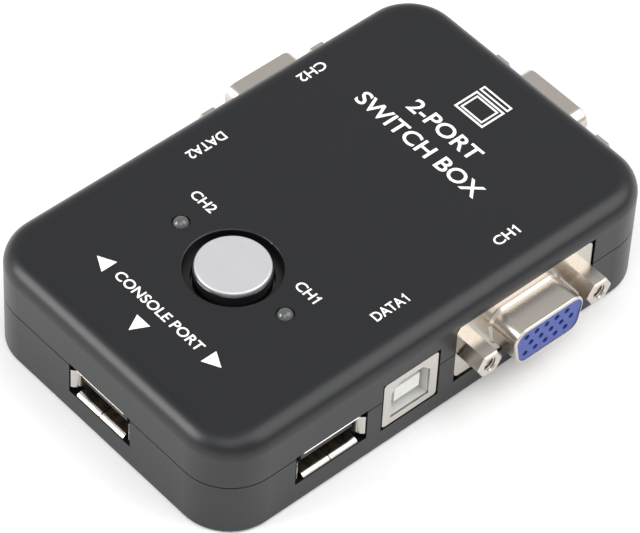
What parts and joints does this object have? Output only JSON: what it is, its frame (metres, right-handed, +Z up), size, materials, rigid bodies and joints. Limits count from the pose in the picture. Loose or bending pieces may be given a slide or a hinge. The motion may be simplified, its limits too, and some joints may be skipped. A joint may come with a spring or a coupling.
{
  "type": "kvm switch",
  "caption": "Small rounded black switch box with D-shaped video sockets and USB sockets around its walls, a round push button and indicator lamps on top.",
  "frame": {"origin": "centre of the case's flat underside", "axes": "+X to the right, towards the wall of the first computer's sockets; +Y to the rear, towards the monitor socket; +Z up"},
  "size_m": [0.0738, 0.1029, 0.0229],
  "materials": {
    "case_plastic": "fine satin grain",
    "cap_plastic": "smooth",
    "disc_silver": "satin paint",
    "socket_nickel": "warm nickel plate",
    "socket_tin": "bright tin plate",
    "vga_blue": "moulded",
    "usb_white": "moulded",
    "usb_black": "moulded",
    "contact_gold": "flash gold",
    "board_green": "solder mask",
    "chip_black": "moulded",
    "lead_tin": "tinned",
    "screw_steel": "zinc plate",
    "spring_steel": "drawn wire",
    "switch_white": "moulded",
    "lamp_clear": "clear epoxy",
    "can_aluminium": "satin",
    "ceramic_tan": "fired"
  },
  "bodies": {
    "case": {"top_cover": "case_plastic", "bottom_cover": "case_plastic", "case_screws": "screw_steel", "circuit_board": "board_green", "vga_right_shell": "socket_nickel", "vga_right_insulator": "vga_blue", "vga_right_housing": "usb_black", "vga_right_contacts": "contact_gold", "vga_right_brackets": "lead_tin", "vga_right_jackscrews": "socket_nickel", "vga_left_shell": "socket_nickel", "vga_left_insulator": "vga_blue", "vga_left_housing": "usb_black", "vga_left_contacts": "contact_gold", "vga_left_brackets": "lead_tin", "vga_left_jackscrews": "socket_nickel", "vga_rear_shell": "socket_nickel", "vga_rear_insulator": "vga_blue", "vga_rear_housing": "usb_black", "vga_rear_contacts": "contact_gold", "vga_rear_brackets": "lead_tin", "vga_rear_jackscrews": "socket_nickel", "usb_b_right_shell": "socket_tin", "usb_b_right_insulator": "usb_white", "usb_b_right_contacts": "contact_gold", "usb_b_left_shell": "socket_tin", "usb_b_left_insulator": "usb_white", "usb_b_left_contacts": "contact_gold", "usb_a_right_shell": "socket_tin", "usb_a_right_insulator": "usb_black", "usb_a_right_contacts": "contact_gold", "usb_a_left_shell": "socket_tin", "usb_a_left_insulator": "usb_black", "usb_a_left_contacts": "contact_gold", "usb_a_front_shell": "socket_tin", "usb_a_front_insulator": "usb_black", "usb_a_front_contacts": "contact_gold", "switch_spring": "spring_steel", "switch_housing": "chip_black", "switch_frame": "lead_tin", "switch_pins": "lead_tin", "led_left_lens": "lamp_clear", "led_left_leads": "lead_tin", "led_right_lens": "lamp_clear", "led_right_leads": "lead_tin", "video_switch_bodies": "chip_black", "video_switch_leads": "lead_tin", "usb_switch_bodies": "chip_black", "usb_switch_leads": "lead_tin", "hub_controller_body": "chip_black", "hub_controller_leads": "lead_tin", "crystal": "lead_tin", "electrolytic_capacitors": "can_aluminium", "chip_capacitors": "ceramic_tan", "chip_resistors": "chip_black"},
    "button": {"button_cap": "cap_plastic", "button_disc": "disc_silver", "switch_stem": "switch_white"}
  },
  "joints": [
    {"name": "button_press", "type": "slide", "parent": "case", "child": "button", "axis": [0, 0, -1], "range_m": [0, 0.0018], "stiffness_N_per_m": 800, "springref_m": -0.0005, "deforming": ["switch_spring"]}
  ]
}
